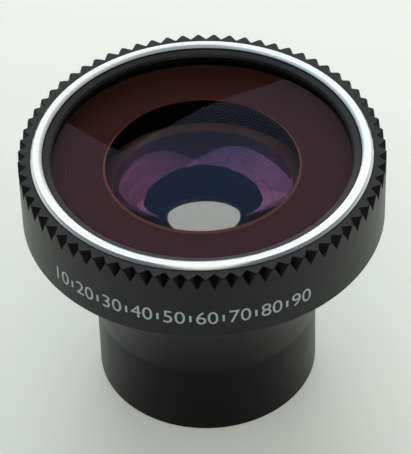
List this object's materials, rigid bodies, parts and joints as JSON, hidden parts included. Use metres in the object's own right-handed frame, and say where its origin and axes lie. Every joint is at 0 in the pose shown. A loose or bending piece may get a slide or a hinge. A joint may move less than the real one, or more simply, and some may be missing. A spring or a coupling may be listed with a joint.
{
  "type": "phone fisheye lens",
  "caption": "Magnetic phone fisheye lens: knurled black front ring with a bright trim over a flared barrel, holding a flat front glass and a bowl-shaped inner element.",
  "frame": {"origin": "centre of the rear face, which sits on the phone", "axes": "+Z along the optical axis towards the scene; +X and +Y across it"},
  "size_m": [0.024, 0.024, 0.0189],
  "materials": {
    "black_anodised": "black anodised, satin",
    "matte_black": "matte black anodised",
    "blackened_steel": "chemically blackened, matte",
    "dark_mask": "dark maroon-brown paint, flat",
    "bright_aluminium": "turned bright, clear",
    "black_film": "plain film",
    "coated_glass": "polished, purple-green coating",
    "nickel_magnet": "nickel plated"
  },
  "bodies": {
    "lens_body": {"barrel": "black_anodised", "front_element": "coated_glass", "front_mask": "dark_mask", "front_spacer": "matte_black", "second_element": "coated_glass", "middle_spacer": "matte_black", "aperture_stop": "blackened_steel", "rear_crown": "coated_glass", "rear_flint": "coated_glass", "rear_retainer": "black_anodised", "ring_magnet": "nickel_magnet"},
    "washer_body": {"slip_washer": "black_film"},
    "ring_body": {"front_ring": "black_anodised", "trim_ring": "bright_aluminium"}
  },
  "joints": [
    {"name": "ring_rise", "type": "slide", "parent": "lens_body", "child": "washer_body", "axis": [0, 0, 1], "range_m": [0, 0.003]},
    {"name": "ring_turn", "type": "hinge", "parent": "washer_body", "child": "ring_body", "pos_m": [0, 0, 0.0135], "axis": [0, 0, 1], "range_deg": [0, 2160]}
  ],
  "couplings": [
    {"joint": "ring_rise", "follows": "ring_turn", "m_per_rad": 0.00007957}
  ]
}
